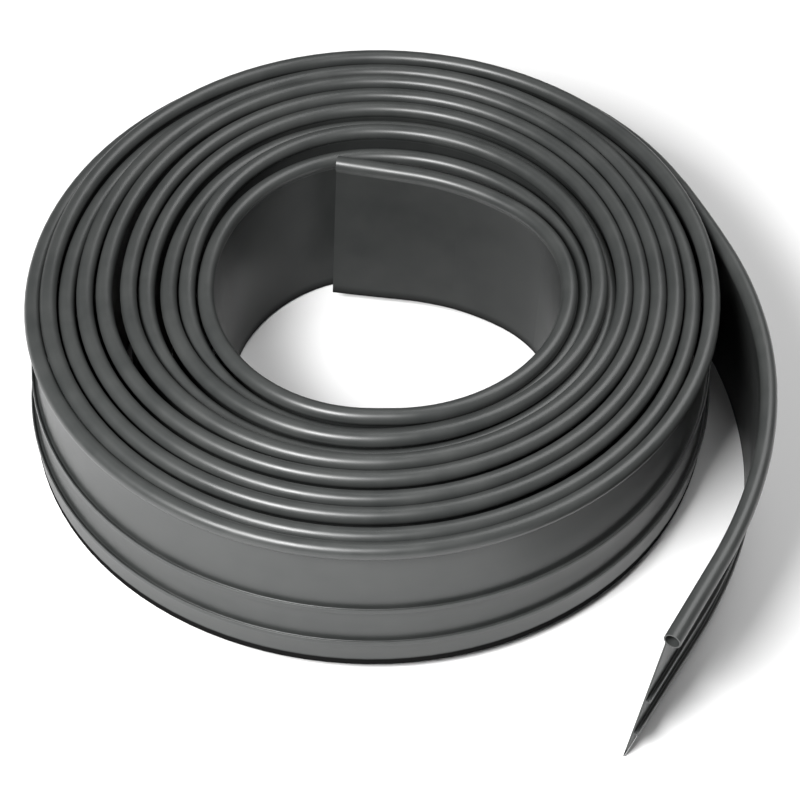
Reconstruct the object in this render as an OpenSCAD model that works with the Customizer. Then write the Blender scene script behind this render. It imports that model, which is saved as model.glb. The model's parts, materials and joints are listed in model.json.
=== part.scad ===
// Coil of landscape edging: one extruded strip, a hollow bead along the top of a thin web
// with two hooked ribs on its outer face, wound in ten turns. The outer end runs free as a
// tail and the inner end stands off as a flap. Millimetres, +Z up, web edge down, and the
// coil's axis is the Z axis.

/* [Section] */
// Outside diameter of the hollow bead
bead_d = 11.2; // [8:0.1:16]
// Wall of the bead
bead_wall = 0.9; // [0.6:0.05:1.6]
// Bead centre to the bottom edge of the web
drop = 109; // [60:1:150]
// Thickness of the web
web_t = 1.2; // [0.8:0.1:2]
// How far the web hangs inside the bead's centre
web_in = 3.2; // [0:0.1:4]
// How far a rib stands off the web
rib_out = 3.2; // [1:0.1:4]
// Thickness of a rib
rib_t = 1.1; // [0.6:0.1:2]
// Height of the barb at a rib's tip
barb_up = 2.4; // [0:0.1:4]
// Upper rib below the bead centre
rib_1 = 56; // [20:1:70]
// Lower rib below the bead centre
rib_2 = 86; // [40:1:100]
// Height of the thinned bottom edge
toe_up = 6; // [2:0.5:12]
// Thickness left at the bottom edge
toe_t = 0.6; // [0.4:0.1:1.2]

/* [Coil] */
// Outward lean of the outermost turn's web, degrees
lean_outer = 4.5; // [0:0.1:8]
// How much less each turn inside it leans, degrees
lean_less = 0.55; // [0:0.05:1]
// How much further the outermost turn's left side leans out
lean_loose = 1.5; // [0:0.1:2]
// How much further the innermost turn's left side leans into the eye
lean_eye = 3.5; // [0:0.1:5]
// The same for its right side
lean_eye_right = 1; // [0:0.1:2]
// How far the lifted stretches stand above the ones on the floor
lift = 9; // [9:0.5:12]
// Where the outer turn leaves the coil, degrees round from the right
leave_at = 24; // [5:1:40]
// How far that last stretch's centre sits toward the back
leave_shift = 10.5; // [0:0.5:20]

/* [Free ends] */
// Gap between two lengths that hinge
hinge_gap = 1.2; // [0.6:0.1:3]
// Length of each curved piece of the tail
tail_piece = 72; // [50:1:100]
// Length of the straight piece at the tail's cut end
tail_end = 66; // [30:1:100]
// Clearance of the tail's edge above the floor
tail_rise = 0.4; // [0:0.1:3]
// Length of each curved piece of the flap
flap_piece = 80; // [40:1:100]
// Length of the straight piece at the flap's cut end
flap_end = 52; // [30:1:80]
// Height of the flap's edge above the floor
flap_rise = 9; // [0:0.5:15]

/* [Hidden] */
$fn = 96;

// Bead radius from the axis where a turn crosses the back, left, front and right.
turns = [[247.3, 232.5, 240.1, 229.5], [240, 221, 228.5, 216.5], [230.2, 209.5, 212, 204.9],
         [222.9, 197, 198.5, 193.4], [211.4, 184, 182, 182], [195, 167.5, 168, 170.6],
         [179.5, 155.5, 156.5, 160.8], [168.5, 140.5, 147.9, 153.8], [154, 128, 137.9, 144.1],
         [137, 115, 128.4, 133]];
// Whether a turn stands on the floor or is lifted where it crosses the back and the front.
rise = lift * [[0, 1], [1, 1], [0, 1], [1, 1], [1, 1], [1, 1], [1, 0], [0, 1], [1, 0], [0, 1]];
// Degrees each piece of the tail and of the flap bends through, and its web's lean.
tail_bend = [5, 13, 13, 12, 10.5, 0];
tail_lean = [3.5, 2, 0.5, -1.5, -4, -6.5];
flap_bend = [47, 26, 0];
flap_lean = [-2.5, -6, -9.5];
// The innermost turn runs straight this far past the front, and turns this much past the
// right before the flap begins.
inner_run = 12;
inner_bend = 4;

bead_r = bead_d / 2;
bore_r = bead_r - bead_wall;

function turn_name(i, side) = str("turn_", i < 9 ? "0" : "", i + 1, "_", side);
function lean(i) = lean_outer - lean_less * i;
function lean_left(i) = lean(i) + (i == 0 ? lean_loose : i == 9 ? -lean_eye : 0);
function dir(a) = [cos(a), sin(a)];
// Sideways position of the web's middle at a depth below the bead centre.
function hang(a, down) = -web_in + down * tan(a);

// Hooked rib as outline points, from its root's underside round the barb to its top.
function rib(a, down) = let (x = hang(a, down) + web_t / 2)
    [[x, -down - rib_t], [x + rib_out, -down - rib_t], [x + rib_out, -down + barb_up],
     [x + rib_out - rib_t, -down + barb_up], [x + rib_out - rib_t, -down], [x, -down]];

module section(a) {
    top = bead_r - 1.55;
    difference() {
        circle(r = bead_r);
        circle(r = bore_r);
    }
    polygon(concat(
        [[hang(a, top) - web_t / 2, -top], [hang(a, drop - toe_up) - web_t / 2, toe_up - drop],
         [hang(a, drop) - web_t / 2, -drop], [hang(a, drop) - web_t / 2 + toe_t, -drop],
         [hang(a, drop - toe_up) + web_t / 2, toe_up - drop]],
        rib(a, rib_2), rib(a, rib_1), [[hang(a, top) + web_t / 2, -top]]));
}

// A length of strip bent round the Z axis at bead radius r.
module bent(r, from, to, a) {
    rotate(from) rotate_extrude(angle = to - from) translate([r, 0]) section(a);
}

// A straight length of strip that ends on the X axis at r, running toward it along +Y.
module straight(len, r, a) {
    rotate([90, 0, 0]) linear_extrude(len) translate([r, 0]) section(a);
}

// A quarter turn from bead radius r0 on the X axis to r1 on the Y axis: one arc of the
// smaller radius, and a straight length for the difference on the side that has more.
module quarter(r0, r1, a) {
    more = abs(r0 - r1);
    if (r0 > r1) {
        translate([more, 0, 0]) bent(r1, 0, 90, a);
        rotate(90) straight(more, r1, a);
    } else {
        translate([0, more, 0]) {
            bent(r0, 0, 90, a);
            if (more > 0) straight(more, r0, a);
        }
    }
}

// Tilts its children from height h0 at y0 to height h1 at y1.
module slope(y0, h0, y1, h1) {
    translate([0, y0, drop + h0]) rotate([atan((h1 - h0) / (y1 - y0)), 0, 0])
        translate([0, -y0, 0]) children();
}

// From the back round the left to the front.
module turn_left(i) {
    t = turns[i];
    color("dimgray") slope(t[0], rise[i][0], -t[2], rise[i][1]) {
        rotate(90) quarter(t[0], t[1], lean_left(i));
        rotate(180) quarter(t[1], t[2], lean_left(i));
    }
}

// From the front round the right to the back, where the next turn takes over.
module turn_right(i) {
    t = turns[i];
    next = turns[i + 1];
    color("gray") slope(-t[2], rise[i][1], next[0], rise[i + 1][0]) {
        rotate(270) quarter(t[2], t[3], lean(i));
        quarter(t[3], next[0], lean(i));
    }
}

// The innermost turn's right side: a straight length, then one arc that runs on a little
// into the flap's curve.
inner_r = turns[9][3] - inner_run;
inner_at = [inner_run, inner_r - turns[9][2]];
module turn_10_right() {
    a = lean(9) - lean_eye_right;
    color("gray") translate([0, 0, drop + rise[9][1]]) {
        translate([inner_run, 0, 0]) rotate(270) straight(inner_run, turns[9][2], a);
        translate(inner_at) bent(inner_r, 270, 360 + inner_bend, a);
    }
}

// The last stretch of the outermost turn, lying on the floor under the next bead.
lead_r = turns[0][0] - leave_shift;
module turn_01_lead() {
    color("dimgray") translate([0, leave_shift, drop]) bent(lead_r, leave_at, 90, lean(0));
}

// A free end is a chain of pieces. side is +1 for pieces that run on leftward round the
// axis and -1 for rightward; p is a piece's start and f the direction out of the curve.
function radius(len, bend) = len / (bend * PI / 180);
function face(f, bends, side, i) = i == 0 ? f : face(f, bends, side, i - 1) + side * bends[i - 1];
function start(p, f, lens, bends, side, i) =
    i == 0 ? p + side * hinge_gap * dir(f + 90) :
    let (q = start(p, f, lens, bends, side, i - 1), g = face(f, bends, side, i - 1),
         h = face(f, bends, side, i), r = radius(lens[i - 1], bends[i - 1]))
    q - r * dir(g) + r * dir(h) + side * hinge_gap * dir(h + 90);

module piece(p, f, len, bend, side, a) {
    if (bend == 0) translate(p + (side > 0 ? len : 0) * dir(f + 90)) rotate(f) straight(len, 0, a);
    else {
        r = radius(len, bend);
        translate(p - r * dir(f)) bent(r, min(f, f + side * bend), max(f, f + side * bend), a);
    }
}

tail_from = [0, leave_shift] + lead_r * dir(leave_at);
tail_lens = [for (b = tail_bend) b == 0 ? tail_end : tail_piece];
module tail(i) {
    p = start(tail_from, leave_at, tail_lens, tail_bend, -1, i);
    color("slategray") translate([0, 0, drop + tail_rise])
        piece(p, face(leave_at, tail_bend, -1, i), tail_lens[i], tail_bend[i], -1, tail_lean[i]);
}

flap_from = inner_at + inner_r * dir(inner_bend);
flap_lens = [for (b = flap_bend) b == 0 ? flap_end : flap_piece];
module flap(i) {
    p = start(flap_from, inner_bend, flap_lens, flap_bend, 1, i);
    color("slategray") translate([0, 0, drop + flap_rise])
        piece(p, face(inner_bend, flap_bend, 1, i), flap_lens[i], flap_bend[i], 1, flap_lean[i]);
}

for (i = [0:9]) turn_left(i);
for (i = [0:8]) turn_right(i);
turn_10_right();
turn_01_lead();
for (i = [0:5]) tail(i);
for (i = [0:2]) flap(i);
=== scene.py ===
# Coil of landscape edging: one extruded strip, wound in ten turns, with its outer end
# running free as a tail and its inner end standing off into the eye as a flap.
import json
import math

import bmesh
import bpy
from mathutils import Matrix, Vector
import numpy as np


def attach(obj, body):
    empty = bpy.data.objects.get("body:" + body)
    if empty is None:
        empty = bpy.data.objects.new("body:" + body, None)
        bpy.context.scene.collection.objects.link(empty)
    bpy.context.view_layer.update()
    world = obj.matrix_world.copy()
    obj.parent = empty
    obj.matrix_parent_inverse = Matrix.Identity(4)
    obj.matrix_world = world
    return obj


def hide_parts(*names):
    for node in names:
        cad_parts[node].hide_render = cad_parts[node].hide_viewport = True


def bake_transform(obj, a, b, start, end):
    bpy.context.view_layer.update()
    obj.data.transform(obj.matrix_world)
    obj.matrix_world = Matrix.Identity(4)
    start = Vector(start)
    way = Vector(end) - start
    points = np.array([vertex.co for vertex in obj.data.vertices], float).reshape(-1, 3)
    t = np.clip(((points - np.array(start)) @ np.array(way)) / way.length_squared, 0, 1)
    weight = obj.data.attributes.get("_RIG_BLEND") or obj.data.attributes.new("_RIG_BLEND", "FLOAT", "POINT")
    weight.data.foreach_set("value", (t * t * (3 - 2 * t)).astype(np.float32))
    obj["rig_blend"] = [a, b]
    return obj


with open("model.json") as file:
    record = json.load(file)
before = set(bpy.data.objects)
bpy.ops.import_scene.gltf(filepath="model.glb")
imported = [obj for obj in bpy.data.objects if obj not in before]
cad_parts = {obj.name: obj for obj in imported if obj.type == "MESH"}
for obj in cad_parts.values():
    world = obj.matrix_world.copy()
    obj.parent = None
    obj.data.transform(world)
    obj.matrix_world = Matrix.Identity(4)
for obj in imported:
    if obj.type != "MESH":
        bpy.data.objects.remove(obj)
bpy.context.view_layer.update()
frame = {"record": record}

# ---------------------------------------------------------------------------------------
# The strip's section. One die extrudes it: a hollow bead along the top, a thin web off the
# bead's inner side, two upturned hooks on the web's outer face and a thinned bottom edge.
# Points are (outward, up) in millimetres from the bead's centre.
MM = 0.001
bead_radius = 5.6
bead_wall = 0.9
web_middle = -3.2
web_thick = 1.2
strip_drop = 109
hook_depths = (56, 86)
hook_out = 3.2
hook_thick = 1.1
barb_height = 2.4
toe_height = 7
toe_thick = 0.6
corner_round = 0.35
root_round = 1.2
# Painted shade on the plastic: the toe band's height in mm, and the weight on the web's inner face.
painted_shade_toe = 6
painted_shade_inside = 0.7


def arc(cx, cy, r, start, end, steps):
    """Points along an arc in the section, angles in degrees."""
    angles = [math.radians(start + (end - start) * i / steps) for i in range(steps + 1)]
    return [(cx + r * math.cos(a), cy + r * math.sin(a)) for a in angles]


def hook(depth):
    """The outline of one hook, from its root's underside up round the barb to the web."""
    face = web_middle + web_thick / 2
    tip, low, top, r = face + hook_out, -depth - hook_thick, -depth + barb_height, corner_round
    return [
        (face, low - root_round), (face + 0.35, low - 0.35), (face + root_round, low),
        *arc(tip - r, low + r, r, -90, 0, 3),
        *arc(tip - r, top - r, r, 0, 90, 3),
        *arc(tip - hook_thick + r, top - r, r, 90, 180, 3),
        *arc(tip - hook_thick - 0.4, -depth + 0.4, 0.4, 0, -90, 2),
        (face + 0.4, -depth), (face, -depth + 0.4),
    ]


def section_outline():
    """The closed outer outline, anticlockwise from the toe's inner corner."""
    outer, inner = web_middle + web_thick / 2, web_middle - web_thick / 2
    toe = inner + toe_thick
    joins = [math.degrees(math.asin(-x / bead_radius)) for x in (outer, inner)]
    start, end = -90 - joins[0], 270 - joins[1]
    web_top = -bead_radius * math.cos(math.radians(joins[0]))
    return [
        (inner, -strip_drop), (toe, -strip_drop), (toe + 0.25, -strip_drop + 2.5),
        (outer - 0.12, -strip_drop + 5), (outer, -strip_drop + toe_height),
        *hook(hook_depths[1]), (outer, -(hook_depths[0] + hook_depths[1]) / 2),
        *hook(hook_depths[0]), (outer, -30),
        (outer, web_top - 1.6), (outer + 0.15, web_top - 0.6),
        *arc(0, 0, bead_radius, start + 9, end - 6, 26),
        (inner, -bead_radius * math.cos(math.radians(joins[1])) - 1.2),
        (inner, -30), (inner, -55), (inner, -82), (inner, -strip_drop + toe_height),
    ]


def section_curve():
    """The outline and the bead's bore as a wire mesh. Its points keep their distance round the section, and
    a weight of painted shade: the toe most, the web's inner face less."""
    bore_sides = 16
    bore = arc(0, 0, bead_radius - bead_wall, 360, 360 / bore_sides, bore_sides - 1)
    rings = [section_outline(), bore]
    points, edges, across, painted_shade = [], [], [], []
    for ring in rings:
        base, travelled = len(points), 0.0
        for i, (x, y) in enumerate(ring):
            if i:
                travelled += math.dist(ring[i - 1], (x, y))
            points.append((x * MM, -y * MM, 0))
            across.append(travelled * MM)
            inner_face = abs(x - web_middle + web_thick / 2) < 0.01
            # Painted shade weight: full on the toe band, less on the web's inner face.
            painted_shade.append(1.0 if y < painted_shade_toe - strip_drop else painted_shade_inside if inner_face else 0.0)
            edges.append((base + i, base + (i + 1) % len(ring)))
    mesh = bpy.data.meshes.new("strip_section")
    mesh.from_pydata(points, edges, [])
    mesh.attributes.new("across", "FLOAT", "POINT").data.foreach_set("value", across)
    mesh.attributes.new("painted_shade", "FLOAT", "POINT").data.foreach_set("value", painted_shade)
    return bpy.data.objects.new("strip_section", mesh)


section = section_curve()


# ---------------------------------------------------------------------------------------
# The plastic: charcoal polyethylene, satin as it leaves the die, with faint die lines along the strip and a
# little mottling. The web's inner face and the toe carry painted shade: a darker base colour and less
# specular.
charcoal_dark, charcoal_light = (0.028, 0.030, 0.0295, 1), (0.037, 0.039, 0.038, 1)
# Near-black that the painted shade mixes toward.
charcoal_painted_shade = (0.008, 0.008, 0.008, 1)
lines_per_metre, lines_wander = 900, 1.6


def set_range(node, low, high, to_low=0.0, to_high=1.0):
    """Sets what a map range node reads and what it gives."""
    ends = (("From Min", low), ("From Max", high), ("To Min", to_low), ("To Max", to_high))
    for end, value in ends:
        node.inputs[end].default_value = value


def charcoal_plastic():
    """The strip's one material, in three parts: its colour, its gloss and its die lines."""
    mat = bpy.data.materials.new("charcoal_polyethylene")
    mat.use_nodes = True
    nodes, links = mat.node_tree.nodes, mat.node_tree.links
    shader = nodes["Principled BSDF"]
    shader.inputs["IOR"].default_value = 1.5
    across = nodes.new("ShaderNodeAttribute")
    across.attribute_name = "across"
    along = nodes.new("ShaderNodeAttribute")
    along.attribute_name = "along"
    painted_shade = nodes.new("ShaderNodeAttribute")
    painted_shade.attribute_name = "painted_shade"
    place = nodes.new("ShaderNodeCombineXYZ")
    links.new(across.outputs["Fac"], place.inputs["X"])
    links.new(along.outputs["Fac"], place.inputs["Y"])
    stretch = nodes.new("ShaderNodeVectorMath")
    stretch.operation = "MULTIPLY"
    stretch.inputs[1].default_value = (lines_per_metre, lines_wander, 1)
    links.new(place.outputs[0], stretch.inputs[0])
    lines = nodes.new("ShaderNodeTexNoise")
    lines.inputs["Scale"].default_value = 1
    lines.inputs["Detail"].default_value = 2
    links.new(stretch.outputs[0], lines.inputs["Vector"])
    where = nodes.new("ShaderNodeTexCoord")
    mottle = nodes.new("ShaderNodeTexNoise")
    mottle.inputs["Scale"].default_value = 38
    mottle.inputs["Detail"].default_value = 4
    links.new(where.outputs["Object"], mottle.inputs["Vector"])
    tone = nodes.new("ShaderNodeMapRange")
    set_range(tone, 0.3, 0.7)
    links.new(mottle.outputs["Fac"], tone.inputs["Value"])
    colour = nodes.new("ShaderNodeMix")
    colour.data_type = "RGBA"
    colour.inputs["A"].default_value = charcoal_dark
    colour.inputs["B"].default_value = charcoal_light
    links.new(tone.outputs[0], colour.inputs["Factor"])
    # Painted shade: the weight darkens the base colour toward near-black.
    darker = nodes.new("ShaderNodeMapRange")
    set_range(darker, 0.5, 1.0)
    links.new(painted_shade.outputs["Fac"], darker.inputs["Value"])
    shade = nodes.new("ShaderNodeMix")
    shade.data_type = "RGBA"
    shade.inputs["B"].default_value = charcoal_painted_shade
    links.new(darker.outputs[0], shade.inputs["Factor"])
    links.new(colour.outputs["Result"], shade.inputs["A"])
    links.new(shade.outputs["Result"], shader.inputs["Base Color"])
    rough = nodes.new("ShaderNodeMapRange")
    set_range(rough, 0.25, 0.75, 0.33, 0.43)
    links.new(mottle.outputs["Fac"], rough.inputs["Value"])
    links.new(rough.outputs[0], shader.inputs["Roughness"])
    # Painted shade also lowers the specular where the weight is set.
    shine = nodes.new("ShaderNodeMapRange")
    set_range(shine, 0.0, 1.0, 0.5, 0.0)
    links.new(painted_shade.outputs["Fac"], shine.inputs["Value"])
    links.new(shine.outputs[0], shader.inputs["Specular IOR Level"])
    bump = nodes.new("ShaderNodeBump")
    bump.inputs["Strength"].default_value = 0.12
    bump.inputs["Distance"].default_value = 0.0002
    links.new(lines.outputs["Fac"], bump.inputs["Height"])
    links.new(bump.outputs[0], shader.inputs["Normal"])
    return mat


plastic = charcoal_plastic()


# ---------------------------------------------------------------------------------------
# How a length of strip is made: the section follows the strip's own line, standing upright
# and leaning in or out by the angle kept at each point of the line.
smooth_up_to = 35


def strip_tree():
    """The sweep, with a line, a section and a plastic given to it."""
    tree = bpy.data.node_groups.new("strip_along_line", "GeometryNodeTree")
    face = tree.interface
    face.new_socket("Line", in_out="INPUT", socket_type="NodeSocketGeometry")
    face.new_socket("Section", in_out="INPUT", socket_type="NodeSocketObject")
    face.new_socket("Plastic", in_out="INPUT", socket_type="NodeSocketMaterial")
    face.new_socket("Strip", in_out="OUTPUT", socket_type="NodeSocketGeometry")
    add = tree.nodes.new
    given, made = add("NodeGroupInput"), add("NodeGroupOutput")
    line = add("GeometryNodeMeshToCurve")
    upright = add("GeometryNodeSetCurveNormal")
    tilt = add("GeometryNodeSetCurveTilt")
    lean = add("GeometryNodeInputNamedAttribute")
    lean.data_type = "FLOAT"
    lean.inputs["Name"].default_value = "lean"
    die = add("GeometryNodeObjectInfo")
    outline = add("GeometryNodeMeshToCurve")
    sweep = add("GeometryNodeCurveToMesh")
    real = add("GeometryNodeRealizeInstances")
    paint = add("GeometryNodeSetMaterial")
    upright.mode = "Z_UP"
    link = tree.links.new
    link(given.outputs["Line"], line.inputs["Mesh"])
    link(line.outputs["Curve"], upright.inputs["Curve"])
    link(upright.outputs["Curve"], tilt.inputs["Curve"])
    link(lean.outputs["Attribute"], tilt.inputs["Tilt"])
    link(tilt.outputs["Curve"], sweep.inputs["Curve"])
    link(given.outputs["Section"], die.inputs["Object"])
    link(die.outputs["Geometry"], outline.inputs["Mesh"])
    link(outline.outputs["Curve"], sweep.inputs["Profile Curve"])
    link(sweep.outputs["Mesh"], real.inputs["Geometry"])
    link(real.outputs["Geometry"], paint.inputs["Geometry"])
    link(given.outputs["Plastic"], paint.inputs["Material"])
    link(paint.outputs["Geometry"], made.inputs["Strip"])
    return tree


tree = strip_tree()


def close_ends(mesh):
    """Closes the cut ends round the bore, and marks the section's corners sharp."""
    form = bmesh.new()
    form.from_mesh(mesh)
    along = form.verts.layers.float["along"]
    for end in (min, max):
        place = end(v[along] for v in form.verts)
        rim = [e for e in form.edges if e.is_boundary and abs(e.verts[0][along] - place) < 1e-6]
        bmesh.ops.triangle_fill(form, use_beauty=True, edges=rim)
    bmesh.ops.recalc_face_normals(form, faces=form.faces)
    for f in form.faces:
        f.smooth = True
    form.to_mesh(mesh)
    form.free()
    mesh.set_sharp_from_angle(angle=math.radians(smooth_up_to))


def extrude_strip(name, line):
    """Sweeps the section along a line of (x, y, bead centre z, lean in degrees, mm along)."""
    path = bpy.data.meshes.new(name + "_line")
    points = [(x * MM, y * MM, z * MM) for x, y, z, lean, travelled in line]
    path.from_pydata(points, [(i, i + 1) for i in range(len(line) - 1)], [])
    for attribute, values in (("lean", [-math.radians(q[3]) for q in line]),
                              ("along", [q[4] * MM for q in line])):
        path.attributes.new(attribute, "FLOAT", "POINT").data.foreach_set("value", values)
    obj = bpy.data.objects.new(name, path)
    bpy.context.collection.objects.link(obj)
    follow = obj.modifiers.new("strip_along_line", "NODES")
    follow.node_group = tree
    for socket in tree.interface.items_tree:
        if socket.name == "Section":
            follow[socket.identifier] = section
        if socket.name == "Plastic":
            follow[socket.identifier] = plastic
    bpy.context.view_layer.update()
    depsgraph = bpy.context.evaluated_depsgraph_get()
    solid = bpy.data.meshes.new_from_object(obj.evaluated_get(depsgraph))
    obj.modifiers.remove(follow)
    solid.name = name
    close_ends(solid)
    obj.data = solid
    bpy.data.meshes.remove(path)
    return obj


# ---------------------------------------------------------------------------------------
# The coil. Ten turns of the one strip lie against each other, and the turns telescope: some
# stretches stand on the floor and the rest ride a little higher.
turns = [  # bead radius from the axis at the back, left, front and right of each turn
    (247.3, 232.5, 240.1, 229.5), (240, 221.6, 228.5, 216.5), (230.2, 209.5, 212, 204.9),
    (222.9, 197, 198.5, 193.4), (211.4, 184, 182, 182), (195, 167.5, 168, 170.6),
    (179.5, 155.5, 156.5, 160.8), (168.5, 140.5, 147.9, 153.8), (154, 128, 137.9, 144.1),
    (137, 115, 128.4, 133)]
lift = 9
raised = [(0, 1), (1, 1), (0, 1), (1, 1), (1, 1), (1, 1), (1, 0), (0, 1), (1, 0), (0, 1)]
lean_outer, lean_less = 4.5, 0.55
# More lean by quarter turns: outward at the loose left side, inward at the eye's back.
more_lean = {1: 2.5, 36: -6, 37: -3, 38: -1}
spiral_turns = 9.5
step = 3.2
radii = [r for row in turns for r in row]
heights = [lift * h for row in raised for h in row]


def ease(a, b, t):
    """From a to b, level at both ends."""
    return a + (b - a) * (1 - math.cos(math.pi * t)) / 2


def coil_point(turn):
    """A point on the coil's line, turn counting from 0 at the outer turn's back."""
    quarter = min(int(turn * 4), round(spiral_turns * 4) - 1)
    half = min(int(turn * 2), round(spiral_turns * 2) - 1)
    r = ease(radii[quarter], radii[quarter + 1], turn * 4 - quarter)
    h = ease(heights[half], heights[half + 1], turn * 2 - half)
    more = ease(more_lean.get(quarter, 0), more_lean.get(quarter + 1, 0), turn * 4 - quarter)
    a = math.radians(90 + 360 * turn)
    lean = lean_outer - lean_less * turn + more
    return r * math.cos(a), r * math.sin(a), strip_drop + h, lean


def bend(start, heading, length, degrees, spacing):
    """Points of one arc: from start, heading in degrees, turning by degrees over length."""
    steps = max(1, round(length / spacing))
    x, y = start
    points = []
    for i in range(1, steps + 1):
        middle = math.radians(heading + degrees * (i - 0.5) / steps)
        x += length / steps * math.cos(middle)
        y += length / steps * math.sin(middle)
        points.append((x, y))
    return points


def with_distance(points):
    """Adds to each point how far along the strip it lies."""
    out, s = [], 0
    for i, q in enumerate(points):
        if i:
            s += math.dist(q[:2], points[i - 1][:2])
        out.append((*q, s))
    return out


# The lead is the last stretch on the floor before the tail: an arc that swings wider.
lead_shift, lead_leaves = 10.5, 24
lead_radius = turns[0][0] - lead_shift
lead_steps = 20
lead = []
for i in range(lead_steps):
    a = math.radians(lead_leaves + (90 - lead_leaves) * i / lead_steps)
    x, y = lead_radius * math.cos(a), lead_shift + lead_radius * math.sin(a)
    lead.append((x, y, strip_drop, lean_outer))
count = round(spiral_turns * 360 / step)
spiral = [coil_point(spiral_turns * i / count) for i in range(count + 1)]
# The inner end runs straight past the front, then bends round the eye's right side.
inner_run, inner_bend, inner_spacing = 12, 94, 5
inner_radius = turns[9][3] - inner_run
inner_height, inner_lean = strip_drop + lift, spiral[-1][3]
inner_start = (inner_run, -turns[9][2])
inner_length = math.radians(inner_bend) * inner_radius
inner = [(*inner_start, inner_height, inner_lean)]
inner += [(x, y, inner_height, inner_lean)
          for x, y in bend(inner_start, 0, inner_length, inner_bend, inner_spacing)]
coil_line = with_distance(lead + spiral + inner)
coil = extrude_strip("coil_strip", coil_line)
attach(coil, "coil")
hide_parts(*frame["record"]["behaviour"]["bodies"]["coil"])


# ---------------------------------------------------------------------------------------
# The free ends. The tail and the flap are the same strip carried on past the coil, and they
# bend along their whole length, so each piece crosses one joint and turns smoothly there.
gap = 1.2
near_joint = 22
joint_height = 0.06
free_spacing = 3
slant, slant_over = 0.018, 0.05
slant_from = 0.103


def free_line(start, heading, lengths, bends, height, turn_sign, first_lean):
    """The points of a free end, its joints with their headings, and each length's middle."""
    x, y = start
    line = [(x, y, height[0], first_lean)]
    joints, middles = [], []
    for length, degrees in zip(lengths, bends):
        a = math.radians(heading)
        joints.append((x + gap / 2 * math.cos(a), y + gap / 2 * math.sin(a), heading))
        x, y = x + gap * math.cos(a), y + gap * math.sin(a)
        for half in range(2):
            for x, y in bend((x, y), heading, length / 2, turn_sign * degrees / 2, free_spacing):
                line.append((x, y, height[1], None))
            heading += turn_sign * degrees / 2
            if not half:
                middles.append(len(line) - 1)
    return line, joints, middles


def lean_along(line, leans, first_lean, middles):
    """Eases the lean from one length's middle to the next's."""
    stops = [0] + middles + [len(line) - 1]
    values = [first_lean] + leans + [leans[-1] + (leans[-1] - leans[-2]) / 3]
    out = []
    for i, (x, y, z, _) in enumerate(line):
        k = max(j for j in range(len(stops) - 1) if stops[j] <= i)
        t = (i - stops[k]) / (stops[k + 1] - stops[k])
        out.append((x, y, z, values[k] + (values[k + 1] - values[k]) * t))
    return out


def slant_cut(mesh, heading):
    """Slants the tail's cut end, the web's bottom edge reaching further than the bead."""
    form = bmesh.new()
    form.from_mesh(mesh)
    along = form.verts.layers.float["along"]
    cut = max(v[along] for v in form.verts)
    way = Vector((math.cos(math.radians(heading)), math.sin(math.radians(heading)), 0))
    for v in form.verts:
        near = max(0, 1 - (cut - v[along]) / slant_over)
        v.co += way * near * slant * max(0, slant_from - v.co.z) / slant_from
    form.to_mesh(mesh)
    form.free()


def make_free_end(name, start, heading, lengths, bends, leans, height, sign, first_lean, is_tail):
    """Cuts a free end's line at the lengths' middles and makes a piece across each joint."""
    line, joints, middles = free_line(start, heading, lengths, bends, height, sign, first_lean)
    line = with_distance(lean_along(line, leans, first_lean, middles))
    cuts = [0] + middles[:-1] + [len(line) - 1]
    for k, (x, y, toward) in enumerate(joints):
        part = line[cuts[k]:cuts[k + 1] + 1]
        if is_tail:
            part = part[::-1]  # the coil's own direction, which keeps the hooks outside
        piece = extrude_strip(f"{name}_strip_{k + 1}", part)
        if is_tail and k == len(joints) - 1:
            slant_cut(piece.data, toward + sign * bends[k])
        dx, dy = math.cos(math.radians(toward)), math.sin(math.radians(toward))
        before, after = (-gap / 2 if k == 0 else -near_joint), near_joint
        ends = [((x + d * dx) * MM, (y + d * dy) * MM, joint_height) for d in (before, after)]
        fixed = "coil" if k == 0 else f"{name}_{k}"
        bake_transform(piece, fixed, f"{name}_{k + 1}", start=ends[0], end=ends[1])
        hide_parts(f"{name}_{k + 1}")


tail_lengths, tail_bends = [72] * 5 + [66], [5, 13, 13, 12, 10.5, 0]
tail_leans = [3.5, 2, 0.5, -1.5, -4, -5.5]
tail_heights = (strip_drop, strip_drop + 0.4)
make_free_end("tail", coil_line[0][:2], lead_leaves - 90, tail_lengths, tail_bends, tail_leans,
              tail_heights, -1, lean_outer, True)

flap_lengths, flap_bends = [80, 80, 52], [47, 26, 0]
flap_leans = [-2.5, -6, -9.5]
make_free_end("flap", coil_line[-1][:2], inner_bend, flap_lengths, flap_bends, flap_leans,
              (inner_height, inner_height), 1, inner_lean, False)


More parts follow.
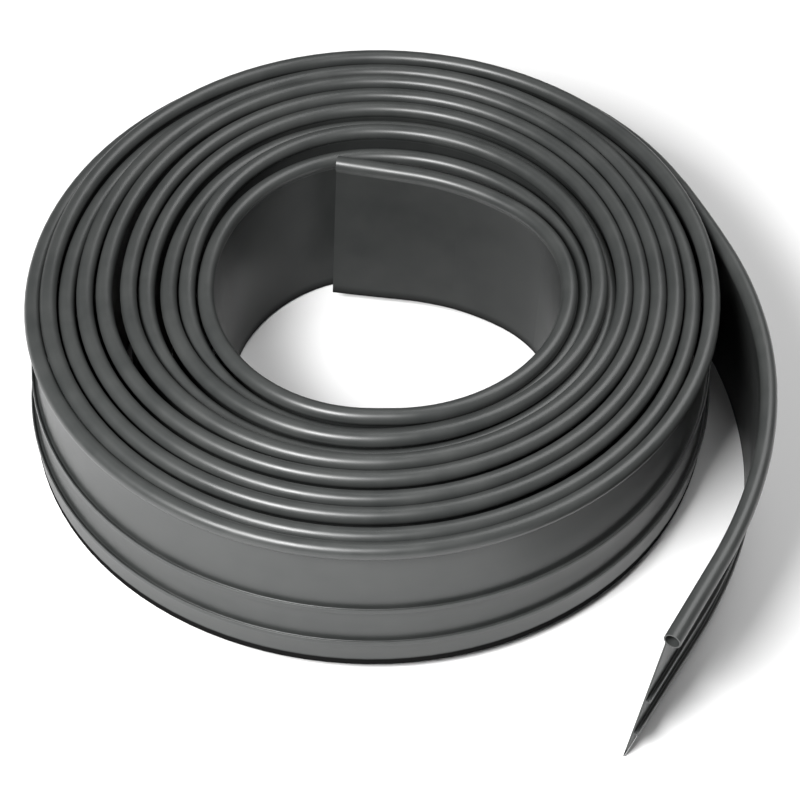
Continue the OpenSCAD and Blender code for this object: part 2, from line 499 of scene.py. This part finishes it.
# ---------------------------------------------------------------------------------------
# The studio: a plain pale floor, a soft key light high at the front left, a broad fill
# behind on the right, an even pale surround and a long lens looking down from the front.
floor_half = 6
floor_white = (0.8, 0.8, 0.8, 1)
surround_white, surround_strength = (1, 1, 1, 1), 0.13
looking_down = 47


def lamp(name, size, power, place, target):
    """A rectangular soft light turned toward a point."""
    data = bpy.data.lights.new(name, "AREA")
    data.shape = "RECTANGLE"
    data.size, data.size_y = size
    data.energy = power
    obj = bpy.data.objects.new(name, data)
    obj.location = place
    obj.rotation_euler = (Vector(target) - Vector(place)).to_track_quat("-Z", "Y").to_euler()
    bpy.context.collection.objects.link(obj)


def studio_floor():
    """The one square that the coil stands on."""
    h = floor_half
    mesh = bpy.data.meshes.new("floor")
    mesh.from_pydata([(-h, -h, 0), (h, -h, 0), (h, h, 0), (-h, h, 0)], [], [(0, 1, 2, 3)])
    mat = bpy.data.materials.new("white_floor")
    mat.use_nodes = True
    shader = mat.node_tree.nodes["Principled BSDF"]
    shader.inputs["Base Color"].default_value = floor_white
    shader.inputs["Roughness"].default_value = 0.9
    mesh.materials.append(mat)
    obj = bpy.data.objects.new("floor", mesh)
    bpy.context.collection.objects.link(obj)


studio_floor()
lamp("key", (0.65, 0.5), 50, (-0.58, -0.88, 1.18), (0, 0, 0.1))
lamp("right_back", (1.1, 1.1), 16, (0.7, 0.5, 1.4), (0, 0, 0))
world = bpy.data.worlds.new("studio")
world.use_nodes = True
world.node_tree.nodes["Background"].inputs["Color"].default_value = surround_white
world.node_tree.nodes["Background"].inputs["Strength"].default_value = surround_strength
bpy.context.scene.world = world
bpy.context.scene.view_settings.view_transform = "Standard"

camera = bpy.data.cameras.new("camera")
camera.lens, camera.sensor_width = 101.5, 36
camera.dof.use_dof = False
eye = bpy.data.objects.new("camera", camera)
eye.location = (0.0175, -1.1112, 1.1876)
eye.rotation_euler = (math.radians(90 - looking_down), 0, 0)
bpy.context.collection.objects.link(eye)
bpy.context.scene.camera = eye
